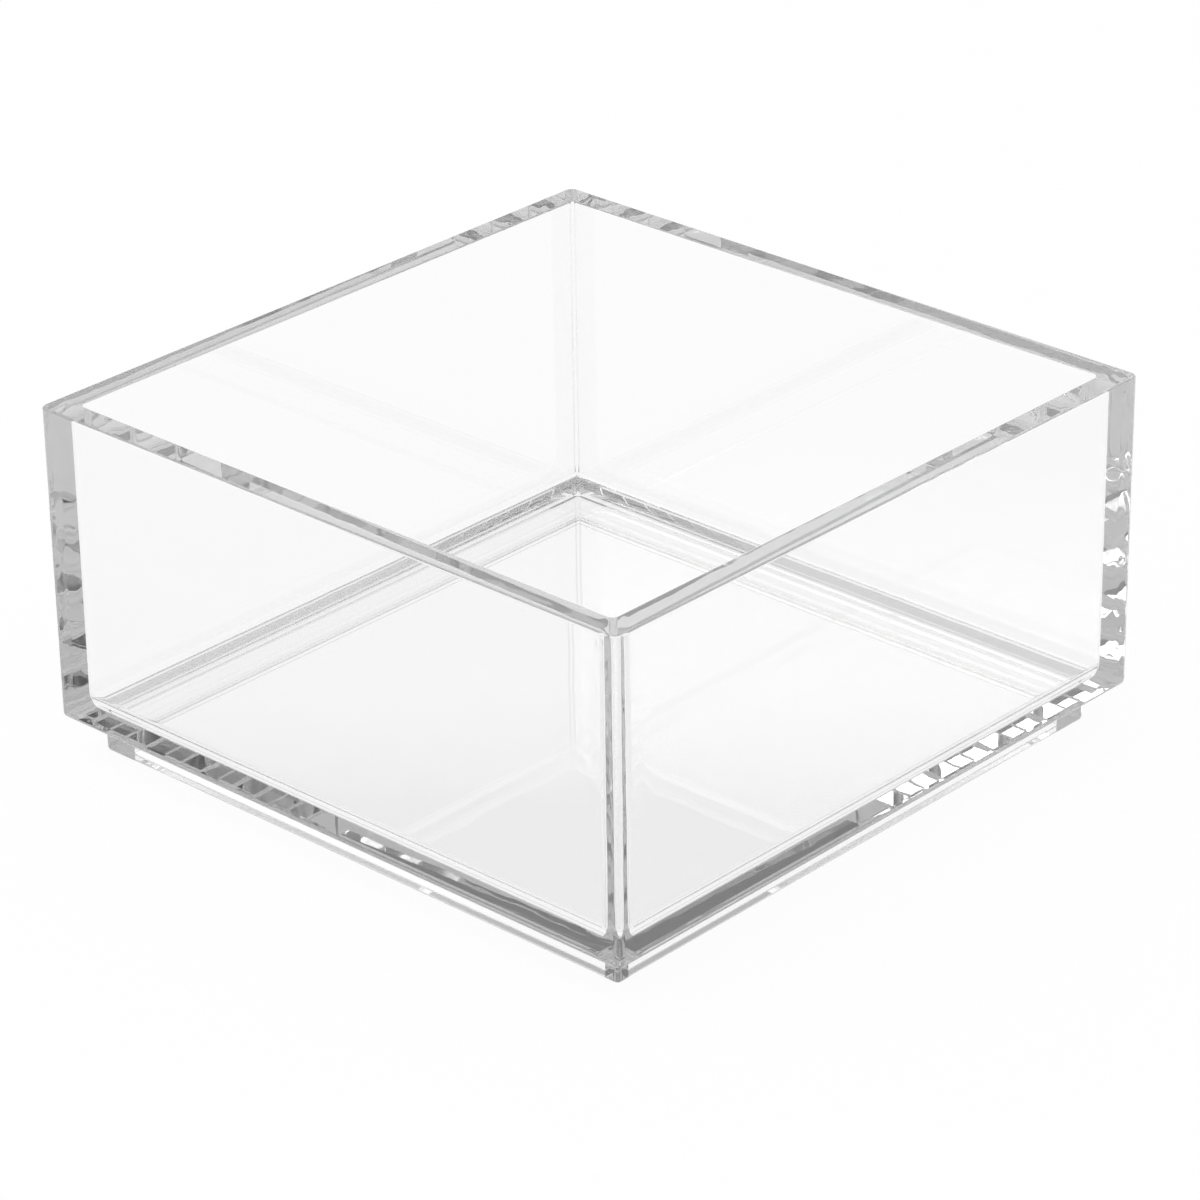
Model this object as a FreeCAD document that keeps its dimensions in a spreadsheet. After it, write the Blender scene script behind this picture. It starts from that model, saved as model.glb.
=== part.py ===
import FreeCAD, Part
import Sketcher
import math
import os

# A clear square stacking tray, bonded from polished sheet. Millimetres, +Z up.
# The origin is the middle of the square that the tray stands on.

# Driving dimensions: name, size in millimetres, meaning
SIZES = [
    ("tray_side", 152.4, "outside width and depth of the tray"),
    ("tray_height", 76.2, "from the resting surface to the top of the rim"),
    ("wall_thick", 5.8, "thickness of the wall sheet"),
    ("floor_thick", 5.8, "thickness of the floor sheet"),
    ("foot_height", 8.0, "from the resting surface to the lower edge of the walls"),
    ("floor_drop", 3.6, "how far the floor sheet stands below the walls, as the upper part of the foot"),
    ("foot_width", 5.8, "width of a foot rail"),
    ("stack_clearance", 0.3, "gap round the foot when it nests in the rim of a tray below"),
    ("wall_corner", 1.8, "radius of the outside upright corners"),
    ("rim_round", 0.5, "radius of the polished edges of the rim"),
    ("base_round", 1.2, "radius of the lower outside edge of the walls"),
    ("foot_corner", 1.3, "radius of the upright corners of the foot"),
    ("foot_round", 1.0, "radius of the lower outside edge of the foot"),
    ("floor_cove", 4.5, "radius of the cement cove round the floor"),
    ("corner_cove", 1.2, "radius of the cement cove up the inside corners"),
]

# The four sides in order, each a quarter turn on from the one before
SIDES = ["front", "right", "rear", "left"]
QUARTER_TURN = 90

# A rounded edge takes at most this share of the sheet or the corner that it runs along
ROUND_SHARE = 0.9

# Edges nearer than this to a level lie at that level
SAME_LEVEL = 1e-4

# Sizes worked out from the sheet
TRAY_HALF = "sizes.tray_side / 2"
CAVITY_HALF = "(sizes.tray_side / 2 - sizes.wall_thick)"
CAVITY_SIDE = "(sizes.tray_side - 2 * sizes.wall_thick)"
FOOT_HALF = CAVITY_HALF + " - sizes.stack_clearance"
FOOT_SIDE = "2 * (" + FOOT_HALF + ")"
FOOT_INNER_HALF = FOOT_HALF + " - sizes.foot_width"
WALL_HEIGHT = "sizes.tray_height - sizes.foot_height"
RAIL_HEIGHT = "sizes.foot_height - sizes.floor_drop"
FLOOR_INSIDE = "sizes.floor_thick - sizes.floor_drop"
FLOOR_TOP = RAIL_HEIGHT + " + sizes.floor_thick"
COVE_HEIGHT = "sizes.tray_height - sizes.rim_round - (" + FLOOR_TOP + ")"
BASE_ROUND = "min(sizes.base_round; {0} * sizes.wall_corner)".format(ROUND_SHARE)
FOOT_ROUND = "min(sizes.foot_round; {0} * sizes.foot_width; {0} * sizes.foot_corner)".format(ROUND_SHARE)

doc = FreeCAD.newDocument("stacking_tray")
sheet = doc.addObject("Spreadsheet::Sheet", "sizes")
for row, (name, size, meaning) in enumerate(SIZES, 1):
    sheet.set("A%d" % row, meaning)
    sheet.set("B%d" % row, str(size))
    sheet.setAlias("B%d" % row, name)
doc.recompute()


def millimetres(expression):
    """The number that an expression over the sheet gives."""
    return float(sheet.evalExpression(expression))


def new_body(label, lift, turns=0):
    """A body that stands on a level, turned by quarter turns about the middle of the tray."""
    body = doc.addObject("PartDesign::Body", label)
    body.Label = label
    turned = FreeCAD.Rotation(FreeCAD.Vector(0, 0, 1), QUARTER_TURN * turns)
    body.Placement = FreeCAD.Placement(FreeCAD.Vector(0, 0, millimetres(lift)), turned)
    body.setExpression("Placement.Base.z", lift)
    return body


def plan_sketch(body, lift="0"):
    """An empty sketch on the body's own ground plane, or lifted above it."""
    ground = next(plane for plane in body.Origin.OriginFeatures if plane.Role == "XY_Plane")
    sketch = body.newObject("Sketcher::SketchObject", body.Label + "_plan")
    sketch.AttachmentSupport = [(ground, "")]
    sketch.MapMode = "FlatFace"
    sketch.setExpression("AttachmentOffset.Base.z", lift)
    return sketch


def dimension(sketch, name, constraint, expression):
    """Add a driving dimension to a sketch and bind it to the sheet."""
    number = sketch.addConstraint(Sketcher.Constraint(*constraint))
    sketch.renameConstraint(number, name)
    sketch.setExpression("Constraints." + name, expression)


def mitred_plan(body, outer_half, inner_half, corner):
    """The plan of one side of a square ring, mitred at both ends and rounded at its outer corners."""
    outer = millimetres(outer_half)
    inner = millimetres(inner_half)
    radius = millimetres(corner)
    centre = outer - radius
    mitre = centre + radius * math.sqrt(0.5)

    def point(x, y):
        return FreeCAD.Vector(x, y, 0)

    def corner_arc(x, first_angle, last_angle):
        circle = Part.Circle(point(x, -centre), FreeCAD.Vector(0, 0, 1), radius)
        return Part.ArcOfCircle(circle, math.radians(first_angle), math.radians(last_angle))

    sketch = plan_sketch(body)
    inside, right_mitre, right_arc, outside, left_arc, left_mitre = sketch.addGeometry([
        Part.LineSegment(point(-inner, -inner), point(inner, -inner)),
        Part.LineSegment(point(inner, -inner), point(mitre, -mitre)),
        corner_arc(centre, -90, -45),
        Part.LineSegment(point(centre, -outer), point(-centre, -outer)),
        corner_arc(-centre, -135, -90),
        Part.LineSegment(point(-mitre, -mitre), point(-inner, -inner)),
    ], False)
    start, end, origin, upright_axis = 1, 2, (-1, 1), -2
    for constraint in [
        ("Coincident", inside, end, right_mitre, start),
        ("Coincident", right_mitre, end, right_arc, end),
        ("Tangent", right_arc, start, outside, start),
        ("Tangent", left_arc, end, outside, end),
        ("Coincident", left_arc, start, left_mitre, start),
        ("Coincident", left_mitre, end, inside, start),
        ("Symmetric", inside, start, inside, end, upright_axis),
        ("Symmetric", outside, start, outside, end, upright_axis),
        ("Equal", right_arc, left_arc),
        ("PointOnObject", *origin, right_mitre),
        ("PointOnObject", *origin, left_mitre),
    ]:
        sketch.addConstraint(Sketcher.Constraint(*constraint))
    dimension(sketch, "inner_reach", ("DistanceX", *origin, inside, end, inner), inner_half)
    dimension(sketch, "inner_depth", ("DistanceY", inside, end, *origin, inner), inner_half)
    dimension(sketch, "outer_depth", ("DistanceY", outside, start, *origin, outer), outer_half)
    flat_half = outer_half + " - " + corner
    dimension(sketch, "flat_reach", ("DistanceX", *origin, outside, start, centre), flat_half)
    dimension(sketch, "rounding", ("Radius", right_arc, radius), corner)
    return sketch


def square_plan(body, side, lift="0"):
    """The plan of a square about the middle of the tray."""
    length = millimetres(side)
    half = length / 2
    corners = [(-half, -half), (half, -half), (half, half), (-half, half)]
    points = [FreeCAD.Vector(x, y, 0) for x, y in corners]
    ends = zip(points, points[1:] + points[:1])
    sketch = plan_sketch(body, lift)
    lines = sketch.addGeometry([Part.LineSegment(first, last) for first, last in ends], False)
    start, end, origin = 1, 2, (-1, 1)
    for line, following in zip(lines, lines[1:] + lines[:1]):
        sketch.addConstraint(Sketcher.Constraint("Coincident", line, end, following, start))
    for line, direction in zip(lines, ["Horizontal", "Vertical", "Horizontal", "Vertical"]):
        sketch.addConstraint(Sketcher.Constraint(direction, line))
    sketch.addConstraint(Sketcher.Constraint("Symmetric", lines[0], start, lines[2], start, *origin))
    sketch.addConstraint(Sketcher.Constraint("Equal", lines[0], lines[1]))
    dimension(sketch, "side", ("Distance", lines[0], length), side)
    return sketch


def pad(body, sketch, height):
    """Raise a plan to its height."""
    raised = body.newObject("PartDesign::Pad", body.Label + "_pad")
    raised.Profile = sketch
    raised.setExpression("Length", height)
    doc.recompute()
    return raised


def strip_edges(shape, level, beyond=0):
    """Names of a strip's lengthwise edges at a level that reach further out than a distance."""
    names = []
    for number, edge in enumerate(shape.Edges, 1):
        box = edge.BoundBox
        flat = abs(box.ZMin - level) < SAME_LEVEL and abs(box.ZMax - level) < SAME_LEVEL
        straight = edge.Curve.TypeId == "Part::GeomLine"
        mitre = straight and box.YLength > SAME_LEVEL
        if flat and not mitre and box.YMin < -beyond - SAME_LEVEL:
            names.append("Edge%d" % number)
    return names


def upright_edges(shape):
    """Names of a block's upright edges."""
    return ["Edge%d" % number for number, edge in enumerate(shape.Edges, 1)
            if edge.BoundBox.ZLength > SAME_LEVEL]


def round_edges(body, base, name, edges, radius):
    """Polish some edges of a body to a radius."""
    fillet = body.newObject("PartDesign::Fillet", body.Label + "_" + name)
    fillet.Base = (base, edges)
    fillet.setExpression("Radius", radius)
    doc.recompute()
    return fillet


def wall(side, turns):
    """A mitred wall, polished round along both edges of the rim and the lower outside edge."""
    body = new_body(side + "_wall", "sizes.foot_height", turns)
    plan = mitred_plan(body, TRAY_HALF, CAVITY_HALF, "sizes.wall_corner")
    strip = pad(body, plan, WALL_HEIGHT)
    rim = strip_edges(strip.Shape, millimetres(WALL_HEIGHT))
    rimmed = round_edges(body, strip, "rim", rim, "sizes.rim_round")
    base = strip_edges(rimmed.Shape, 0, millimetres(CAVITY_HALF))
    round_edges(body, rimmed, "base", base, BASE_ROUND)
    return body


def foot_rail(side, turns):
    """A mitred rail of the foot, which fits the rim of a tray below and is rounded where it enters."""
    body = new_body(side + "_foot_rail", "0", turns)
    plan = mitred_plan(body, FOOT_HALF, FOOT_INNER_HALF, "sizes.foot_corner")
    strip = pad(body, plan, RAIL_HEIGHT)
    lower = strip_edges(strip.Shape, 0, millimetres(FOOT_INNER_HALF))
    round_edges(body, strip, "lower", lower, FOOT_ROUND)
    return body


def floor_plate():
    """The square floor: it drops between the walls, and is cut back to the foot's size below them."""
    body = new_body("floor_plate", RAIL_HEIGHT)
    core = pad(body, square_plan(body, FOOT_SIDE), "sizes.floor_thick")
    round_edges(body, core, "corners", upright_edges(core.Shape), "sizes.foot_corner")
    pad(body, square_plan(body, CAVITY_SIDE, "sizes.floor_drop"), FLOOR_INSIDE)
    return body


def cavity_block(name, height):
    """A block that fills the inside of the walls from the floor up."""
    block = doc.addObject("Part::Box", name)
    block.setExpression("Length", CAVITY_SIDE)
    block.setExpression("Width", CAVITY_SIDE)
    block.setExpression("Height", height)
    block.setExpression("Placement.Base.x", "-" + CAVITY_HALF)
    block.setExpression("Placement.Base.y", "-" + CAVITY_HALF)
    block.setExpression("Placement.Base.z", FLOOR_TOP)
    doc.recompute()
    return block


def rounded_block(name, radius, chosen):
    """The inside of the walls, taller than the cove, with some of its edges rounded."""
    block = cavity_block(name, COVE_HEIGHT + " + " + radius)
    size = millimetres(radius)
    rounded = doc.addObject("Part::Fillet", name + "_rounded")
    rounded.Base = block
    rounded.Edges = [(number, size, size) for number, edge in enumerate(block.Shape.Edges, 1)
                     if chosen(edge.BoundBox)]
    doc.recompute()
    return rounded


def cement_cove():
    """The hollow-rounded bead along the inside joints: the cavity less the cavity with rounded edges."""
    filled = cavity_block("cavity_filled", COVE_HEIGHT)
    low = filled.Shape.BoundBox.ZMin

    def joins_floor(box):
        return box.ZMax < low + SAME_LEVEL

    def stands_up(box):
        return box.ZLength > SAME_LEVEL

    hollow = doc.addObject("Part::Common", "cavity_hollow")
    hollow.Base = rounded_block("cavity_on_floor", "sizes.floor_cove", joins_floor)
    hollow.Tool = rounded_block("cavity_in_corners", "sizes.corner_cove", stands_up)
    cove = doc.addObject("Part::Cut", "cement_cove")
    cove.Label = "cement_cove"
    cove.Base = filled
    cove.Tool = hollow
    doc.recompute()
    return cove


def check(pieces):
    """Stop unless every object was made and every piece is one sound solid."""
    for item in doc.Objects:
        if "Invalid" in item.State or "Error" in item.State:
            raise RuntimeError("%s was not made: %s" % (item.Name, item.State))
    for piece in pieces:
        if piece.Shape.isNull() or not piece.Shape.isValid() or len(piece.Shape.Solids) != 1:
            raise RuntimeError("%s is not one sound solid" % piece.Label)


pieces = [wall(side, turns) for turns, side in enumerate(SIDES)]
pieces.append(floor_plate())
pieces.extend(foot_rail(side, turns) for turns, side in enumerate(SIDES))
pieces.append(cement_cove())
doc.recompute()
check(pieces)

os.makedirs("parts", exist_ok=True)
for piece in pieces:
    piece.Shape.exportStep("parts/%s.step" % piece.Label)
    print("%-18s %10.1f mm3" % (piece.Label, piece.Shape.Volume))
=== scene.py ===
"""A square clear stacking tray of bonded acrylic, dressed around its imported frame.

Every piece of the frame gets a closed mesh of its own. Where two pieces are bonded their faces
lie on each other, and those faces show nothing, so light crosses a joint as it does in a real
bonded tray. All lengths are in metres, in the frame's own axes.
"""

import itertools
import math

import bmesh
import bpy
from bpy.props import (
    FloatProperty,
    FloatVectorProperty,
    IntProperty,
    PointerProperty,
)
from mathutils import Matrix, Vector


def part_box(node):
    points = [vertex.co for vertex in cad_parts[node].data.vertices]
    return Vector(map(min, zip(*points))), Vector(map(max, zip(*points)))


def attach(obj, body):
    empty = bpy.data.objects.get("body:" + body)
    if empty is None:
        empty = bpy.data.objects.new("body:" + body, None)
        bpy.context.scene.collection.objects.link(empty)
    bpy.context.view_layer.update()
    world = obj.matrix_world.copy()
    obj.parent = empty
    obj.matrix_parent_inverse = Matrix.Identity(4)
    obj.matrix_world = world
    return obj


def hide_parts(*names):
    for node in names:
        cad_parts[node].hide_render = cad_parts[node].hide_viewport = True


bl_info = {
    "name": "Clear Stacking Tray",
    "version": (1, 0, 0),
    "blender": (4, 5, 0),
    "location": "View3D > Sidebar > Tray",
    "description": "Builds a square clear tray from bonded acrylic pieces, and its studio",
    "category": "Object",
}

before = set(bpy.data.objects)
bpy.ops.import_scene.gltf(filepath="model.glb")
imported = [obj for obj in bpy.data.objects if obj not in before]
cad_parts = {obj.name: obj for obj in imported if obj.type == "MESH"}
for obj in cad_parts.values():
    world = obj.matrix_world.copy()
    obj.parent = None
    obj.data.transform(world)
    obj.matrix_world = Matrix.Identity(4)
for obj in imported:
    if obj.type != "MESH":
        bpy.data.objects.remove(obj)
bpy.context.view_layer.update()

SIDES = ("front", "right", "rear", "left")
SHEET, EDGE, BOND = range(3)
CEMENT, CEMENT_BOND = range(2)
MERGE = 1e-7
MITRE, FRONT = -135.0, -90.0

# Grain of each finish: waves to the metre, what the finer waves add, marks to the metre.
SHEET_GRAIN = (60.0, 7.0, 300.0)
EDGE_GRAIN = (90.0, 0.5, 500.0)
CEMENT_GRAIN = (140.0, 0.0, 300.0)

# The finer waves, to the metre, fade in across the corners and down the foot of the walls.
FINE_WAVES = 170.0
CORNER_FADE = (-0.004, 0.001)
LOWER_FADE = (0.010, 0.005)
LOWER_SHARE = 0.25

# Hairline marks: which way they run, how long they are drawn and how sparse they stay.
HAIR_TURN = (0.3, 0.5, 0.7)
HAIR_STRETCH = (0.04, 1.0, 1.0)
HAIR_CUT = (0.68, 0.74)

NODE_STEP = (220, 260)
FLOOR_GAP = 0.0001
SENSOR_WIDTH = 36.0
BOUNCES = 96
CLEAR_BOUNCES = 256

WALL_LOW, WALL_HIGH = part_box("front_wall")
PLATE_LOW, PLATE_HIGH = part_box("floor_plate")
RAIL_LOW, RAIL_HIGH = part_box("front_foot_rail")


def length(name, description, default):
    """A length property, in metres."""
    return FloatProperty(
        name=name, description=description, default=round(default, 7), min=0.0,
        unit="LENGTH", precision=5,
    )


def colour(name, description, default):
    """A colour property."""
    return FloatVectorProperty(
        name=name, description=description, default=default, size=3, min=0.0, max=1.0,
        subtype="COLOR",
    )


class TrayShape(bpy.types.PropertyGroup):
    """Sizes of the tray: the large ones come from the frame."""

    outer_half: length("Outer half", "Half the tray's side over the walls", -WALL_LOW.y)
    inner_half: length("Inner half", "Half the side between the walls", -WALL_HIGH.y)
    rim_z: length("Rim level", "Height of the rim", WALL_HIGH.z)
    ledge_z: length("Ledge level", "Height of the walls' lower edge", WALL_LOW.z)
    floor_z: length("Floor level", "Height of the floor plate's top", PLATE_HIGH.z)
    rail_z: length("Rail level", "Height of the foot rails' top", RAIL_HIGH.z)
    foot_half: length("Foot half", "Half the foot's side over its rails", -RAIL_LOW.y)
    recess_half: length("Recess half", "Half the side between the rails", -RAIL_HIGH.y)
    wall_corner: length("Wall corner", "Radius of the upright outside corners", 0.0018)
    rim_round: length("Rim round", "Radius of the rim's polished edges", 0.0005)
    base_round: length("Base round", "Radius of the walls' lower outside edge", 0.0012)
    floor_cove: length("Floor cove", "Radius of the cement bead round the floor", 0.0045)
    corner_cove: length("Corner cove", "Radius of the cement bead up the corners", 0.0012)
    foot_corner: length("Foot corner", "Radius of the foot's upright corners", 0.0013)
    foot_round: length("Foot round", "Radius of the foot's lower outside edge", 0.001)
    foot_inner_round: length("Foot inner round", "Radius of its lower inside edge", 0.0003)
    steps: IntProperty(
        name="Steps", description="Faces across a quarter round", default=10, min=2,
    )


class AcrylicFinish(bpy.types.PropertyGroup):
    """How clear, wavy and marked the acrylic and its cement are."""

    tint: colour("Tint", "Colour of the acrylic's surface", (1.0, 1.0, 1.0))
    ior: FloatProperty(
        name="IOR", description="How strongly acrylic bends light", default=1.49, min=1.0,
    )
    wall_absorption: FloatProperty(
        name="Wall absorption", description="How much light the walls take on each metre inside",
        default=3.5, min=0.0,
    )
    base_absorption: FloatProperty(
        name="Base absorption", description="The same for the floor, the foot and the cement",
        default=4.8, min=0.0,
    )
    wall_turns: IntProperty(
        name="Wall turns", description="Turns of light after which it leaves a wall",
        default=20, min=1,
    )
    base_turns: IntProperty(
        name="Base turns", description="The same for the floor, the foot and the cement",
        default=15, min=1,
    )
    sheet_wave: length("Sheet waves", "Depth of the waves on the broad faces", 12e-6)
    edge_wave: length("Edge waves", "Depth of the waves on the polished edges", 8e-6)
    cement_wave: length("Cement waves", "Depth of the waves on the cove", 15e-6)
    polish: FloatProperty(
        name="Polish", description="Roughness of the clean faces", default=0.0,
        min=0.0, max=1.0, subtype="FACTOR",
    )
    handled: FloatProperty(
        name="Handled", description="Roughness inside hairline marks", default=0.03,
        min=0.0, max=1.0, subtype="FACTOR",
    )


class StudioSetup(bpy.types.PropertyGroup):
    """The pale floor, the soft light and the camera."""

    floor_colour: colour("Floor", "Colour of the floor", (0.9, 0.9, 0.9))
    floor_white: FloatProperty(
        name="Floor white", description="Share of plain white the camera sees on the floor",
        default=0.95, min=0.0, max=1.0, subtype="FACTOR",
    )
    floor_size: length("Floor size", "Side of the floor", 24.0)
    top_power: FloatProperty(
        name="Top softbox", description="Power of the softbox overhead",
        default=6.0, min=0.0, subtype="POWER", unit="POWER",
    )
    aim: FloatVectorProperty(
        name="Aim", description="Point the camera looks at", size=3,
        default=(-0.0015, -0.0030, 0.0319), subtype="TRANSLATION", unit="LENGTH",
    )
    distance: length("Distance", "From the camera to the aim point", 0.9772)
    bearing: FloatProperty(
        name="Bearing", description="Direction of the view, from +X towards +Y",
        default=math.radians(43.03), subtype="ANGLE", unit="ROTATION",
    )
    downward: FloatProperty(
        name="Downward", description="How far the view tilts down",
        default=math.radians(26.415), subtype="ANGLE", unit="ROTATION",
    )
    roll: FloatProperty(
        name="Roll", description="Turn of the camera about its view, clockwise",
        default=math.radians(0.864), subtype="ANGLE", unit="ROTATION",
    )
    lens: FloatProperty(
        name="Lens", description="Focal length on a 36 mm sensor", default=147.3,
        min=1.0, subtype="DISTANCE_CAMERA",
    )


def turned(vector, quarters):
    """A vector turned about Z by quarter turns, with no rounding. None stays None."""
    for _ in range(quarters if vector else 0):
        vector = Vector((-vector.y, vector.x, vector.z))
    return vector


class Skin:
    """Gathers the faces of one closed piece, with a normal for each corner of each face."""

    def __init__(self):
        self.mesh = bmesh.new()
        self.points = {}
        self.shading = []

    def vertex(self, point):
        """The vertex at a point: points closer than MERGE share one."""
        cell = [math.floor(c / MERGE) for c in point]
        for step in itertools.product((0, -1, 1), repeat=3):
            found = self.points.get(tuple(c + d for c, d in zip(cell, step)))
            if found and (found.co - point).length < MERGE:
                return found
        return self.points.setdefault(tuple(cell), self.mesh.verts.new(point))

    def add(self, corners, finish):
        """Adds one face from (point, normal) corners. A normal of None is the face's own."""
        shading = {}
        for point, normal in corners:
            shading.setdefault(self.vertex(point), normal)
        if len(shading) < 3:
            return
        face = self.mesh.faces.new(list(shading))
        face.material_index = finish
        face.smooth = True
        self.shading.append(shading)

    def add_turned(self, quarters, corners, finish):
        """Adds a face turned about the tray's middle by quarter turns."""
        self.add([(turned(p, quarters), turned(n, quarters)) for p, n in corners], finish)

    def piece(self, name, materials):
        """Makes the object, and stops the script if its mesh isn't closed."""
        bm = self.mesh
        bmesh.ops.recalc_face_normals(bm, faces=bm.faces[:])
        if any(not edge.is_manifold for edge in bm.edges):
            raise RuntimeError(f"{name} isn't a closed mesh")
        normals = [
            shading[loop.vert] or face.normal
            for face, shading in zip(bm.faces, self.shading)
            for loop in face.loops
        ]
        data = bpy.data.meshes.new(name)
        bm.to_mesh(data)
        data.normals_split_custom_set(normals)
        bm.free()
        for material in materials:
            data.materials.append(material)
        piece = bpy.data.objects.new(name, data)
        bpy.context.scene.collection.objects.link(piece)
        return piece


def quarter_round(half, z, radius, start, end, steps, hollow=False):
    """Samples (half, z, outward, upward) of a round edge: the last two are its normal."""
    side = -1.0 if hollow else 1.0
    samples = []
    for k in range(steps + 1):
        angle = math.radians(start + (end - start) * k / steps)
        out, up = math.cos(angle), math.sin(angle)
        samples.append((half + radius * out, z + radius * up, side * out, side * up))
    return samples


def flat(start, end, out, up):
    """The two samples of a flat stretch between (half, z) places."""
    return [(*start, out, up), (*end, out, up)]


def mitred_row(sample, centre, tangent, steps):
    """One row of (point, normal) pairs along the front side, from mitre to mitre.

    centre is the half at which the round plan corner has its centre. A sample inside it has a
    sharp corner, and its corner columns run along the side as far as tangent.
    """
    half, z, out, up = sample
    radius = half - centre
    row = []
    for k in range(steps + 1):
        part = k / steps
        if radius > MERGE:
            angle = math.radians(MITRE + (FRONT - MITRE) * part)
            x, y = math.cos(angle), math.sin(angle)
            point = Vector((-centre + radius * x, -centre + radius * y, z))
            normal = Vector((out * x, out * y, up))
        else:
            point = Vector((-half + (half - min(tangent, half)) * part, -half, z))
            normal = Vector((0.0, -out, up))
        row.append((point, normal))
    mirrored = [
        (Vector((-p.x, p.y, p.z)), Vector((-n.x, n.y, n.z))) for p, n in reversed(row)
    ]
    return row + mirrored


def mitred_strip(name, strips, centre, tangent, steps, quarters, materials):
    """A closed strip with mitred ends.

    strips goes once round the section: each entry is (samples, finish of the straight part,
    finish of the corner columns).
    """
    skin = Skin()
    ends = [], []
    for samples, finish, corner_finish in strips:
        rows = [mitred_row(sample, centre, tangent, steps) for sample in samples]
        for lower, upper in zip(rows, rows[1:]):
            for k in range(len(lower) - 1):
                corners = [lower[k], lower[k + 1], upper[k + 1], upper[k]]
                skin.add_turned(quarters, corners, finish if k == steps else corner_finish)
        for row in rows[:-1]:
            ends[0].append((row[0][0], None))
            ends[1].append((row[-1][0], None))
    for end in ends:
        skin.add_turned(quarters, end, BOND)
    return skin.piece(name, materials)


def wall_strips(shape):
    """The section of a wall, from its bonded inside foot round to the rim and back."""
    inner, outer = shape.inner_half, shape.outer_half
    rim, base = shape.rim_round, shape.base_round
    bead = shape.floor_z + shape.floor_cove
    under = quarter_round(outer - base, shape.ledge_z + base, base, -90, 0, shape.steps)
    rim_out = quarter_round(outer - rim, shape.rim_z - rim, rim, 0, 90, shape.steps)
    rim_in = quarter_round(inner + rim, shape.rim_z - rim, rim, 90, 180, shape.steps)
    return [
        (flat((inner, shape.ledge_z), under[0][:2], 0, -1), SHEET, SHEET),
        (under, EDGE, EDGE),
        (flat(under[-1][:2], rim_out[0][:2], 1, 0), SHEET, SHEET),
        (rim_out, EDGE, EDGE),
        (flat(rim_out[-1][:2], rim_in[0][:2], 0, 1), EDGE, EDGE),
        (rim_in, EDGE, BOND),
        (flat(rim_in[-1][:2], (inner, bead), -1, 0), SHEET, BOND),
        (flat((inner, bead), (inner, shape.ledge_z), -1, 0), BOND, BOND),
    ]


def rail_strips(shape):
    """The section of a foot rail, from its bonded top round the outside and back."""
    outer, inner = shape.foot_half, shape.recess_half
    big, small = shape.foot_round, shape.foot_inner_round
    toe = quarter_round(outer - big, big, big, 0, -90, shape.steps)
    heel = quarter_round(inner + small, small, small, -90, -180, shape.steps)
    return [
        (flat((inner, shape.rail_z), (outer, shape.rail_z), 0, 1), BOND, BOND),
        (flat((outer, shape.rail_z), toe[0][:2], 1, 0), SHEET, SHEET),
        (toe, EDGE, EDGE),
        (flat(toe[-1][:2], heel[0][:2], 0, -1), EDGE, EDGE),
        (heel, EDGE, EDGE),
        (flat(heel[-1][:2], (inner, shape.rail_z), -1, 0), SHEET, SHEET),
    ]


def at(x, y, z):
    """A face corner that takes its face's own normal."""
    return Vector((x, y, z)), None


def plate_skin(shape):
    """The floor plate: bonded between the walls and over the rails, cut back below the walls."""
    skin = Skin()
    side, top = shape.inner_half, shape.floor_z
    ledge, under = shape.ledge_z, shape.rail_z
    clear, recess = side - shape.floor_cove, shape.recess_half
    foot, centre = shape.foot_half, shape.foot_half - shape.foot_corner

    def rim(z, out, up):
        return mitred_row((foot, z, out, up), centre, centre, shape.steps)

    for quarters in range(4):
        skin.add_turned(quarters, [at(-clear, -clear, top), at(clear, -clear, top),
                                   at(side, -side, top), at(-side, -side, top)], BOND)
        skin.add_turned(quarters, [at(-side, -side, top), at(side, -side, top),
                                   at(side, -side, ledge), at(-side, -side, ledge)], BOND)
        edge = [(point, None) for point, _ in rim(ledge, 0, -1)]
        skin.add_turned(
            quarters, [at(-side, -side, ledge), *edge, at(side, -side, ledge)], SHEET)
        upper, lower = rim(ledge, 1, 0), rim(under, 1, 0)
        for k in range(len(upper) - 1):
            skin.add_turned(
                quarters, [lower[k], lower[k + 1], upper[k + 1], upper[k]], SHEET)
        edge = [(point, None) for point, _ in lower]
        skin.add_turned(
            quarters, [at(-recess, -recess, under), *edge, at(recess, -recess, under)], BOND)
    skin.add([at(-clear, -clear, top), at(clear, -clear, top),
              at(clear, clear, top), at(-clear, clear, top)], SHEET)
    skin.add([at(-recess, -recess, under), at(recess, -recess, under),
              at(recess, recess, under), at(-recess, recess, under)], SHEET)
    return skin


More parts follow.
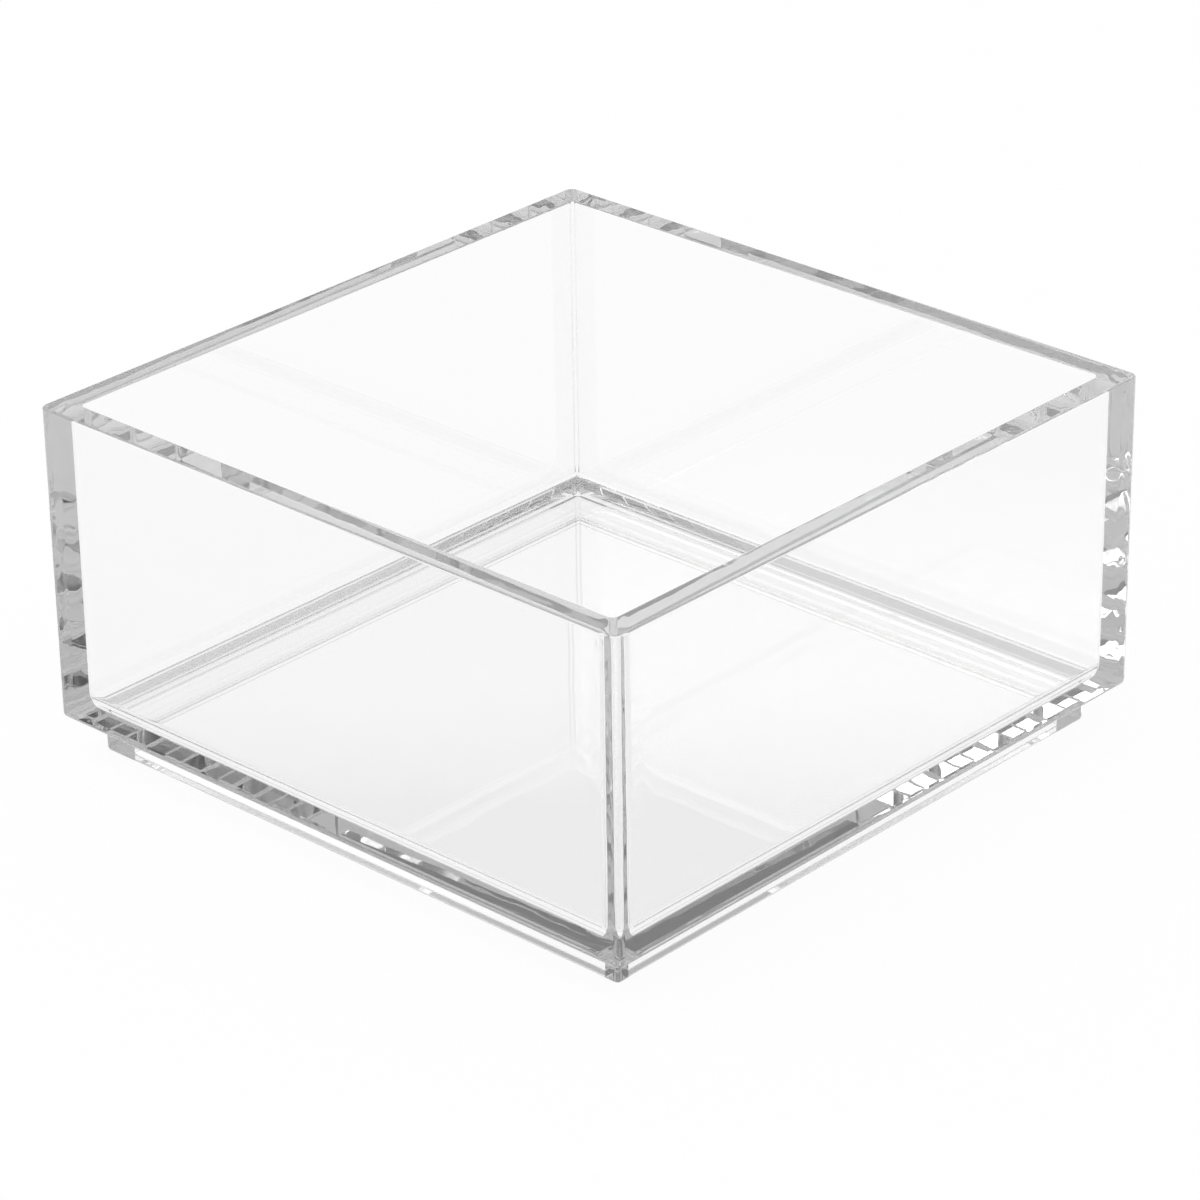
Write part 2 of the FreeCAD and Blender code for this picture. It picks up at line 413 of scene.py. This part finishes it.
def cove_skin(shape):
    """The cement cove: a hollow bead round the floor and up the four inside corners."""
    skin = Skin()
    side, low, steps = shape.inner_half, shape.floor_z, shape.steps
    big, small, rim = shape.floor_cove, shape.corner_cove, shape.rim_round
    clear, bend, bead = side - big, side - small, low + big
    lip = shape.rim_z - rim
    turn = -math.degrees(math.acos(1.0 - small / big))
    hollow = quarter_round(clear, bead, big, -90, turn, steps, hollow=True)
    hollow += quarter_round(clear, bead, big, turn, 0, steps, hollow=True)[1:]
    lips = quarter_round(side + rim, lip, rim, 180, 90, steps)
    floor_rows = [mitred_row(sample, bend, bend, steps) for sample in hollow]
    corner_rows = [mitred_row(sample, bend, bend, steps) for sample in [hollow[-1]] + lips]
    corner_columns = [k for k in range(2 * steps + 1) if k != steps]
    tip = side + rim
    backs = [(low, side), (bead, side)] + [(z, half) for half, z, _, _ in lips]
    for quarters in range(4):
        for rows, columns in ((floor_rows, range(2 * steps + 1)), (corner_rows, corner_columns)):
            for lower, upper in zip(rows, rows[1:]):
                for k in columns:
                    corners = [lower[k], lower[k + 1], upper[k + 1], upper[k]]
                    skin.add_turned(quarters, corners, CEMENT)
        top = corner_rows[-1]
        for k in corner_columns:
            end = math.copysign(tip, top[k][0].x)
            skin.add_turned(quarters, [(top[k][0], None), (top[k + 1][0], None),
                                       at(end, -tip, shape.rim_z)], CEMENT)
        skin.add_turned(quarters, [
            at(-clear, -clear, low), at(clear, -clear, low), at(side, -side, low),
            at(bend, -side, low), at(-bend, -side, low), at(-side, -side, low)], CEMENT_BOND)
        skin.add_turned(quarters, [at(-bend, -side, low), at(bend, -side, low),
                                   at(bend, -side, bead), at(-bend, -side, bead)], CEMENT_BOND)
        for (z0, r0), (z1, r1) in zip(backs, backs[1:]):
            for way in (-1, 1):
                skin.add_turned(quarters, [
                    at(way * bend, -r0, z0), at(way * r0, -r0, z0),
                    at(way * r1, -r1, z1), at(way * bend, -r1, z1)], CEMENT_BOND)
    return skin


def new_node(tree, kind, place, inputs=None, **settings):
    """Adds a node at (column, row) of the tree, and sets its inputs and settings."""
    node = tree.nodes.new(kind)
    node.location = (NODE_STEP[0] * place[0], -NODE_STEP[1] * place[1])
    for name, value in settings.items():
        setattr(node, name, value)
    for name, value in (inputs or {}).items():
        node.inputs[name].default_value = value
    return node


def new_group(name, inputs, outputs):
    """A shader node group with named float sockets, and its input and output nodes."""
    group = bpy.data.node_groups.new(name, "ShaderNodeTree")
    for label, default in inputs:
        socket = group.interface.new_socket(
            name=label, in_out="INPUT", socket_type="NodeSocketFloat")
        socket.default_value = default
    for label in outputs:
        group.interface.new_socket(
            name=label, in_out="OUTPUT", socket_type="NodeSocketFloat")
    source = new_node(group, "NodeGroupInput", (-1, 0))
    sink = new_node(group, "NodeGroupOutput", (8, 0))
    return group, source, sink


def waves_group(shape):
    """Slow waves in a clear surface, with finer ones left by heat beside the bonded edges."""
    name = "Clear Waves"
    if name in bpy.data.node_groups:
        return bpy.data.node_groups[name]
    group, source, sink = new_group(
        name, [("Waves per metre", SHEET_GRAIN[0]), ("Edge Waves", 1.0)], ["Height"])
    link = group.links.new
    place = new_node(group, "ShaderNodeTexCoord", (0, 0))
    noise = new_node(group, "ShaderNodeTexNoise", (2, 1), {
        "Detail": 1.0, "Roughness": 0.4, "Distortion": 0.3})
    fine = new_node(group, "ShaderNodeTexNoise", (2, 0), {
        "Scale": FINE_WAVES, "Detail": 0.0, "Distortion": 0.4})
    split = new_node(group, "ShaderNodeSeparateXYZ", (1, -1))
    across = new_node(group, "ShaderNodeMath", (2, -1), operation="ABSOLUTE")
    along = new_node(group, "ShaderNodeMath", (2, -2), operation="ABSOLUTE")
    corner = new_node(group, "ShaderNodeMath", (3, -1), operation="MINIMUM")
    fade = new_node(group, "ShaderNodeMapRange", (4, -1), {
        "From Min": shape.inner_half + CORNER_FADE[0],
        "From Max": shape.inner_half + CORNER_FADE[1]},
        interpolation_type="SMOOTHSTEP")
    ring = new_node(group, "ShaderNodeMath", (3, -2), operation="MAXIMUM")
    outside = new_node(group, "ShaderNodeMath", (4, -2), operation="GREATER_THAN")
    outside.inputs[1].default_value = shape.inner_half
    low = new_node(group, "ShaderNodeMapRange", (4, -3), {
        "From Min": shape.ledge_z + LOWER_FADE[0],
        "From Max": shape.ledge_z + LOWER_FADE[1], "To Max": LOWER_SHARE},
        interpolation_type="SMOOTHSTEP")
    base = new_node(group, "ShaderNodeMath", (5, -2), operation="MULTIPLY")
    near = new_node(group, "ShaderNodeMath", (5, -1), operation="MAXIMUM")
    share = new_node(group, "ShaderNodeMath", (6, -1), operation="MULTIPLY")
    height = new_node(group, "ShaderNodeMath", (7, 0), operation="MULTIPLY_ADD")
    link(place.outputs["Object"], noise.inputs["Vector"])
    link(place.outputs["Object"], fine.inputs["Vector"])
    link(place.outputs["Object"], split.inputs["Vector"])
    link(source.outputs["Waves per metre"], noise.inputs["Scale"])
    link(split.outputs["X"], across.inputs[0])
    link(split.outputs["Y"], along.inputs[0])
    link(across.outputs[0], corner.inputs[0])
    link(along.outputs[0], corner.inputs[1])
    link(corner.outputs[0], fade.inputs["Value"])
    link(across.outputs[0], ring.inputs[0])
    link(along.outputs[0], ring.inputs[1])
    link(ring.outputs[0], outside.inputs[0])
    link(split.outputs["Z"], low.inputs["Value"])
    link(outside.outputs[0], base.inputs[0])
    link(low.outputs["Result"], base.inputs[1])
    link(fade.outputs["Result"], near.inputs[0])
    link(base.outputs[0], near.inputs[1])
    link(near.outputs[0], share.inputs[0])
    link(source.outputs["Edge Waves"], share.inputs[1])
    link(fine.outputs["Fac"], height.inputs[0])
    link(share.outputs[0], height.inputs[1])
    link(noise.outputs["Fac"], height.inputs[2])
    link(height.outputs[0], sink.inputs["Height"])
    return group


def marks_group():
    """Roughness of a handled clear surface: polished, with sparse hairline marks."""
    name = "Hairline Marks"
    if name in bpy.data.node_groups:
        return bpy.data.node_groups[name]
    group, source, sink = new_group(
        name, [("Polish", 0.0), ("Handled", 0.03), ("Marks per metre", SHEET_GRAIN[2])],
        ["Roughness"])
    link = group.links.new
    place = new_node(group, "ShaderNodeTexCoord", (0, 0))
    stretch = new_node(group, "ShaderNodeMapping", (1, 0), {
        "Rotation": HAIR_TURN, "Scale": HAIR_STRETCH})
    hairs = new_node(group, "ShaderNodeTexNoise", (2, 0), {"Detail": 2.0})
    thin = new_node(group, "ShaderNodeMapRange", (3, 0), {
        "From Min": HAIR_CUT[0], "From Max": HAIR_CUT[1]})
    blend = new_node(group, "ShaderNodeMapRange", (4, 0))
    link(place.outputs["Object"], stretch.inputs["Vector"])
    link(stretch.outputs["Vector"], hairs.inputs["Vector"])
    link(source.outputs["Marks per metre"], hairs.inputs["Scale"])
    link(hairs.outputs["Fac"], thin.inputs["Value"])
    link(thin.outputs["Result"], blend.inputs["Value"])
    link(source.outputs["Polish"], blend.inputs["To Min"])
    link(source.outputs["Handled"], blend.inputs["To Max"])
    link(blend.outputs["Result"], sink.inputs["Roughness"])
    return group


def clear_material(name, finish, body, depth, grain):
    """Clear acrylic or cement: bends light, and takes a little of it on the way inside.

    body is the absorption, and the turns after which light leaves straight through the next
    face. depth is the waves' depth, and grain is one of the finishes' grains.
    """
    if name in bpy.data.materials:
        return bpy.data.materials[name]
    absorption, turns = body
    waves, edge, marks = grain
    material = bpy.data.materials.new(name)
    material.use_nodes = True
    tree = material.node_tree
    link = tree.links.new
    tree.nodes.clear()
    output = new_node(tree, "ShaderNodeOutputMaterial", (7, 0))
    clear = new_node(tree, "ShaderNodeBsdfPrincipled", (4, 0), {
        "Base Color": (*finish.tint, 1.0), "IOR": finish.ior, "Transmission Weight": 1.0})
    ripple = new_node(
        tree, "ShaderNodeGroup", (1, 1), node_tree=waves_group(bpy.context.scene.tray_shape))
    ripple.inputs["Waves per metre"].default_value = waves
    ripple.inputs["Edge Waves"].default_value = edge
    bump = new_node(tree, "ShaderNodeBump", (2, 1), {"Distance": depth})
    hairs = new_node(tree, "ShaderNodeGroup", (1, 0), node_tree=marks_group())
    hairs.inputs["Polish"].default_value = finish.polish
    hairs.inputs["Handled"].default_value = finish.handled
    hairs.inputs["Marks per metre"].default_value = marks
    link(ripple.outputs["Height"], bump.inputs["Height"])
    link(bump.outputs["Normal"], clear.inputs["Normal"])
    link(hairs.outputs["Roughness"], clear.inputs["Roughness"])

    path = new_node(tree, "ShaderNodeLightPath", (0, 3))
    side = new_node(tree, "ShaderNodeNewGeometry", (0, 4))
    depth_in = new_node(tree, "ShaderNodeMath", (1, 3), operation="MULTIPLY")
    depth_in.inputs[1].default_value = -absorption
    passed = new_node(tree, "ShaderNodeMath", (2, 3), operation="EXPONENT")
    lost = new_node(tree, "ShaderNodeMath", (3, 3), operation="SUBTRACT")
    lost.inputs[0].default_value = 1.0
    inside = new_node(tree, "ShaderNodeMath", (4, 3), operation="MULTIPLY")
    dark = new_node(tree, "ShaderNodeBsdfTransparent", (4, 2), {"Color": (0, 0, 0, 1)})
    mix = new_node(tree, "ShaderNodeMixShader", (5, 0))
    link(path.outputs["Ray Length"], depth_in.inputs[0])
    link(depth_in.outputs[0], passed.inputs[0])
    link(passed.outputs[0], lost.inputs[1])
    link(lost.outputs[0], inside.inputs[0])
    link(side.outputs["Backfacing"], inside.inputs[1])
    link(inside.outputs[0], mix.inputs["Fac"])
    link(clear.outputs["BSDF"], mix.inputs[1])
    link(dark.outputs["BSDF"], mix.inputs[2])

    turned_out = new_node(tree, "ShaderNodeMath", (5, 3), operation="GREATER_THAN")
    turned_out.inputs[1].default_value = turns
    leave = new_node(tree, "ShaderNodeBsdfTransparent", (5, 2), {"Color": (1, 1, 1, 1)})
    last = new_node(tree, "ShaderNodeMixShader", (6, 0))
    link(path.outputs["Ray Depth"], turned_out.inputs[0])
    link(turned_out.outputs[0], last.inputs["Fac"])
    link(mix.outputs["Shader"], last.inputs[1])
    link(leave.outputs["BSDF"], last.inputs[2])
    link(last.outputs["Shader"], output.inputs["Surface"])
    return material


def bonded_material():
    """Faces inside a bonded joint: the cement has the acrylic's own index, so none shows."""
    name = "bonded_joint"
    if name in bpy.data.materials:
        return bpy.data.materials[name]
    material = bpy.data.materials.new(name)
    material.use_nodes = True
    tree = material.node_tree
    tree.nodes.clear()
    output = new_node(tree, "ShaderNodeOutputMaterial", (1, 0))
    through = new_node(tree, "ShaderNodeBsdfTransparent", (0, 0), {"Color": (1, 1, 1, 1)})
    tree.links.new(through.outputs["BSDF"], output.inputs["Surface"])
    return material


def wall_body(finish):
    """Absorption and turns of the walls."""
    return finish.wall_absorption, finish.wall_turns


def base_body(finish):
    """Absorption and turns of the floor plate, the foot rails and the cement."""
    return finish.base_absorption, finish.base_turns


def acrylic_materials(finish, part, body):
    """The finishes of a sheet piece, in the order of SHEET, EDGE and BOND."""
    return [
        clear_material(f"{part}_sheet", finish, body, finish.sheet_wave, SHEET_GRAIN),
        clear_material(f"{part}_polished_edge", finish, body, finish.edge_wave, EDGE_GRAIN),
        bonded_material(),
    ]


def dress(piece, node):
    """Puts a piece in a node's place."""
    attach(piece, "root")
    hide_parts(node)


class TRAY_OT_walls(bpy.types.Operator):
    """Add the four mitred walls, polished round along the rim and the lower edge"""

    bl_idname = "tray.walls"
    bl_label = "Walls"

    def execute(self, context):
        shape, finish = context.scene.tray_shape, context.scene.tray_finish
        centre = shape.outer_half - shape.wall_corner
        tangent = shape.inner_half - shape.corner_cove
        materials = acrylic_materials(finish, "wall", wall_body(finish))
        for quarters, side in enumerate(SIDES):
            wall = mitred_strip(
                f"{side}_wall_clear", wall_strips(shape), centre, tangent, shape.steps,
                quarters, materials)
            dress(wall, f"{side}_wall")
        return {"FINISHED"}


class TRAY_OT_floor_plate(bpy.types.Operator):
    """Add the floor plate that drops between the walls"""

    bl_idname = "tray.floor_plate"
    bl_label = "Floor plate"

    def execute(self, context):
        shape, finish = context.scene.tray_shape, context.scene.tray_finish
        plate = plate_skin(shape).piece(
            "floor_plate_clear", acrylic_materials(finish, "base", base_body(finish)))
        dress(plate, "floor_plate")
        return {"FINISHED"}


class TRAY_OT_foot_rails(bpy.types.Operator):
    """Add the four mitred rails of the recessed foot"""

    bl_idname = "tray.foot_rails"
    bl_label = "Foot rails"

    def execute(self, context):
        shape, finish = context.scene.tray_shape, context.scene.tray_finish
        centre = shape.foot_half - shape.foot_corner
        materials = acrylic_materials(finish, "base", base_body(finish))
        for quarters, side in enumerate(SIDES):
            rail = mitred_strip(
                f"{side}_foot_rail_clear", rail_strips(shape), centre, centre, shape.steps,
                quarters, materials)
            dress(rail, f"{side}_foot_rail")
        return {"FINISHED"}


class TRAY_OT_cement_cove(bpy.types.Operator):
    """Add the hollow bead of clear cement along the inside joints"""

    bl_idname = "tray.cement_cove"
    bl_label = "Cement cove"

    def execute(self, context):
        shape, finish = context.scene.tray_shape, context.scene.tray_finish
        cement = clear_material(
            "cured_cement", finish, base_body(finish), finish.cement_wave, CEMENT_GRAIN)
        cove = cove_skin(shape).piece("cement_cove_clear", [cement, bonded_material()])
        dress(cove, "cement_cove")
        return {"FINISHED"}


def floor_material(studio):
    """A pale floor that the camera and the clear pieces see nearly white, with its shadow."""
    material = bpy.data.materials.new("pale_floor")
    material.use_nodes = True
    tree = material.node_tree
    link = tree.links.new
    tree.nodes.clear()
    output = new_node(tree, "ShaderNodeOutputMaterial", (5, 0))
    matt = new_node(tree, "ShaderNodeBsdfDiffuse", (3, 0), {
        "Color": (*studio.floor_colour, 1.0)})
    white = new_node(tree, "ShaderNodeEmission", (3, 1), {
        "Color": (1, 1, 1, 1), "Strength": 1.0})
    path = new_node(tree, "ShaderNodeLightPath", (0, 0))
    seen = new_node(tree, "ShaderNodeMath", (1, 0), operation="MAXIMUM")
    seen_all = new_node(tree, "ShaderNodeMath", (2, 0), operation="MAXIMUM")
    share = new_node(tree, "ShaderNodeMath", (3, 2), operation="MULTIPLY")
    share.inputs[1].default_value = studio.floor_white
    mix = new_node(tree, "ShaderNodeMixShader", (4, 0))
    link(path.outputs["Is Camera Ray"], seen.inputs[0])
    link(path.outputs["Is Transmission Ray"], seen.inputs[1])
    link(seen.outputs[0], seen_all.inputs[0])
    link(path.outputs["Is Glossy Ray"], seen_all.inputs[1])
    link(seen_all.outputs[0], share.inputs[0])
    link(share.outputs[0], mix.inputs["Fac"])
    link(matt.outputs["BSDF"], mix.inputs[1])
    link(white.outputs["Emission"], mix.inputs[2])
    link(mix.outputs["Shader"], output.inputs["Surface"])
    return material


def add_floor(studio):
    """A wide pale floor just under the foot."""
    bm = bmesh.new()
    bmesh.ops.create_grid(bm, x_segments=1, y_segments=1, size=studio.floor_size / 2)
    data = bpy.data.meshes.new("studio_floor")
    bm.to_mesh(data)
    bm.free()
    data.materials.append(floor_material(studio))
    floor = bpy.data.objects.new("studio_floor", data)
    floor.location.z = -FLOOR_GAP
    bpy.context.scene.collection.objects.link(floor)


# Studio light by direction, as (degrees, brightness): two rows of toned walls stand all
# round between the white floor and the white ceiling, the upper row holds a bright panel, and
# a white board stands behind the tray.
WALLS = ((-90, 0.0), (13, 0.0), (18, 1.0), (32, 1.0), (45, 0.0), (90, 0.0))
UPPER_ROW = ((-90, 0.0), (24.8, 0.0), (26.4, 1.0), (29, 1.0), (30.5, 0.0), (90, 0.0))
LOWER_ROUND = (
    (-180, 0.75), (-150, 0.60), (-120, 0.60), (-100, 0.50), (-66, 0.65), (-46, 0.85),
    (-30, 0.45), (20, 0.40), (30, 0.35), (62, 0.35),
    (75, 0.70), (120, 0.85), (150, 0.85), (180, 0.75))
UPPER_ROUND = (
    (-180, 0.75), (-150, 0.60), (-100, 0.50), (-57, 0.50), (-53, 0.05), (-50, 0.05),
    (-46, 0.90), (-32, 0.90), (-26, 0.45), (15, 0.40), (25, 0.32), (36, 0.35),
    (54, 0.35), (58, 0.48), (65, 0.48), (75, 0.70), (95, 0.70), (112, 4.0), (162, 4.0),
    (175, 0.75), (180, 0.75))
BOARD_ROW = ((-90, 0.0), (24.6, 0.0), (25.3, 1.0), (27.9, 1.0), (28.5, 0.0), (90, 0.0))
BOARD_ROUND = ((-180, 0.0), (29, 0.0), (33, 1.0), (53, 1.0), (57, 0.0), (180, 0.0))
BRIGHTEST = 4.0


def degree_ramp(tree, place, source, stops, limit, top=1.0):
    """The output of a ramp over plus and minus limit degrees, as a share of the brightness top.

    source is the node whose result runs from 0 to 1 over those degrees.
    """
    ramp = new_node(tree, "ShaderNodeValToRGB", place)
    elements = ramp.color_ramp.elements
    elements.remove(elements[1])
    for k, (degrees, value) in enumerate(stops):
        where = (degrees + limit) / (2 * limit)
        stop = elements[0] if k == 0 else elements.new(where)
        stop.position = where
        stop.color = (value / top, value / top, value / top, 1.0)
    tree.links.new(source.outputs["Result"], ramp.inputs["Fac"])
    return ramp.outputs["Color"]


def add_world():
    """Soft light from all round, toned by direction."""
    world = bpy.data.worlds.new("studio_light")
    bpy.context.scene.world = world
    world.use_nodes = True
    tree = world.node_tree
    link = tree.links.new
    background = tree.nodes["Background"]
    background.inputs["Color"].default_value = (1.0, 1.0, 1.0, 1.0)
    place = new_node(tree, "ShaderNodeTexCoord", (-8, 0))
    split = new_node(tree, "ShaderNodeSeparateXYZ", (-7, 0))
    height = new_node(tree, "ShaderNodeMath", (-6, 0), operation="ARCSINE")
    bearing = new_node(tree, "ShaderNodeMath", (-6, 1), operation="ARCTAN2")
    rise = new_node(tree, "ShaderNodeMapRange", (-5, 0), {
        "From Min": -math.pi / 2, "From Max": math.pi / 2})
    turn = new_node(tree, "ShaderNodeMapRange", (-5, 1), {
        "From Min": -math.pi, "From Max": math.pi})
    link(place.outputs["Generated"], split.inputs["Vector"])
    link(split.outputs["Z"], height.inputs[0])
    link(split.outputs["Y"], bearing.inputs[0])
    link(split.outputs["X"], bearing.inputs[1])
    link(height.outputs[0], rise.inputs["Value"])
    link(bearing.outputs[0], turn.inputs["Value"])

    walls = degree_ramp(tree, (-4, 0), rise, WALLS, 90)
    upper_row = degree_ramp(tree, (-4, 1), rise, UPPER_ROW, 90)
    lower = degree_ramp(tree, (-4, 2), turn, LOWER_ROUND, 180)
    upper = degree_ramp(tree, (-4, 3), turn, UPPER_ROUND, 180, BRIGHTEST)
    board_row = degree_ramp(tree, (-4, 4), rise, BOARD_ROW, 90)
    board_round = degree_ramp(tree, (-4, 5), turn, BOARD_ROUND, 180)

    lift = new_node(tree, "ShaderNodeMath", (-3, 3), operation="MULTIPLY")
    lift.inputs[1].default_value = BRIGHTEST
    rows = new_node(tree, "ShaderNodeMix", (-2, 1), data_type="FLOAT")
    tone = new_node(tree, "ShaderNodeMix", (-1, 0), {"A": 1.0}, data_type="FLOAT")
    board = new_node(tree, "ShaderNodeMath", (-3, 4), operation="MULTIPLY")
    lit = new_node(tree, "ShaderNodeMix", (-1, 1), {"B": 1.0}, data_type="FLOAT")
    link(upper, lift.inputs[0])
    link(upper_row, rows.inputs["Factor"])
    link(lower, rows.inputs["A"])
    link(lift.outputs[0], rows.inputs["B"])
    link(walls, tone.inputs["Factor"])
    link(rows.outputs["Result"], tone.inputs["B"])
    link(board_row, board.inputs[0])
    link(board_round, board.inputs[1])
    link(board.outputs[0], lit.inputs["Factor"])
    link(tone.outputs["Result"], lit.inputs["A"])
    link(lit.outputs["Result"], background.inputs["Strength"])


def add_softbox(name, bearing, rise, reach, size, power):
    """A rectangular soft lamp, in degrees about the tray, turned towards its middle."""
    data = bpy.data.lights.new(name, "AREA")
    data.shape = "RECTANGLE"
    data.size, data.size_y = size
    data.energy = power
    lamp = bpy.data.objects.new(name, data)
    level = math.cos(math.radians(rise))
    away = Vector((math.cos(math.radians(bearing)) * level,
                   math.sin(math.radians(bearing)) * level, math.sin(math.radians(rise))))
    lamp.location = away * reach
    lamp.rotation_euler = away.to_track_quat("Z", "Y").to_euler()
    bpy.context.scene.collection.objects.link(lamp)


def add_camera(studio):
    """The camera at the photograph's viewing angle."""
    data = bpy.data.cameras.new("studio_camera")
    data.sensor_width = SENSOR_WIDTH
    data.lens = studio.lens
    camera = bpy.data.objects.new("studio_camera", data)
    level = math.cos(studio.downward)
    view = Vector((math.cos(studio.bearing) * level, math.sin(studio.bearing) * level,
                   -math.sin(studio.downward)))
    right = view.cross(Vector((0, 0, 1))).normalized()
    turn = Matrix.Rotation(studio.roll, 3, view)
    right = turn @ right
    up = right.cross(view)
    pose = Matrix((right, up, -view)).transposed().to_4x4()
    pose.translation = Vector(studio.aim) - view * studio.distance
    camera.matrix_world = pose
    bpy.context.scene.collection.objects.link(camera)
    bpy.context.scene.camera = camera


class TRAY_OT_stage(bpy.types.Operator):
    """Add the pale floor, the soft studio light and the camera"""

    bl_idname = "tray.stage"
    bl_label = "Studio"

    def execute(self, context):
        scene, studio = context.scene, context.scene.tray_studio
        scene.view_settings.view_transform = "Standard"
        scene.cycles.max_bounces = BOUNCES
        scene.cycles.transmission_bounces = BOUNCES
        scene.cycles.glossy_bounces = BOUNCES
        scene.cycles.transparent_max_bounces = CLEAR_BOUNCES
        scene.cycles.use_denoising = True
        add_floor(studio)
        add_world()
        add_softbox(
            "top_softbox", bearing=150.0, rise=74.0, reach=1.8, size=(1.0, 1.0),
            power=studio.top_power)
        add_camera(studio)
        return {"FINISHED"}


class TRAY_PT_build(bpy.types.Panel):
    """Buttons that build the tray, piece by piece"""

    bl_label = "Clear Tray"
    bl_space_type = "VIEW_3D"
    bl_region_type = "UI"
    bl_category = "Tray"

    def draw(self, context):
        for operator in OPERATORS:
            self.layout.operator(operator.bl_idname)


OPERATORS = (
    TRAY_OT_walls,
    TRAY_OT_floor_plate,
    TRAY_OT_foot_rails,
    TRAY_OT_cement_cove,
    TRAY_OT_stage,
)
GROUPS = (("tray_shape", TrayShape), ("tray_finish", AcrylicFinish),
          ("tray_studio", StudioSetup))


def register():
    for name, group in GROUPS:
        bpy.utils.register_class(group)
        setattr(bpy.types.Scene, name, PointerProperty(type=group))
    for cls in (*OPERATORS, TRAY_PT_build):
        bpy.utils.register_class(cls)


def unregister():
    for cls in (TRAY_PT_build, *reversed(OPERATORS)):
        bpy.utils.unregister_class(cls)
    for name, group in reversed(GROUPS):
        delattr(bpy.types.Scene, name)
        bpy.utils.unregister_class(group)


def main():
    """Builds every piece and the stage."""
    register()
    bpy.ops.tray.walls()
    bpy.ops.tray.floor_plate()
    bpy.ops.tray.foot_rails()
    bpy.ops.tray.cement_cove()
    bpy.ops.tray.stage()


if __name__ == "__main__":
    main()
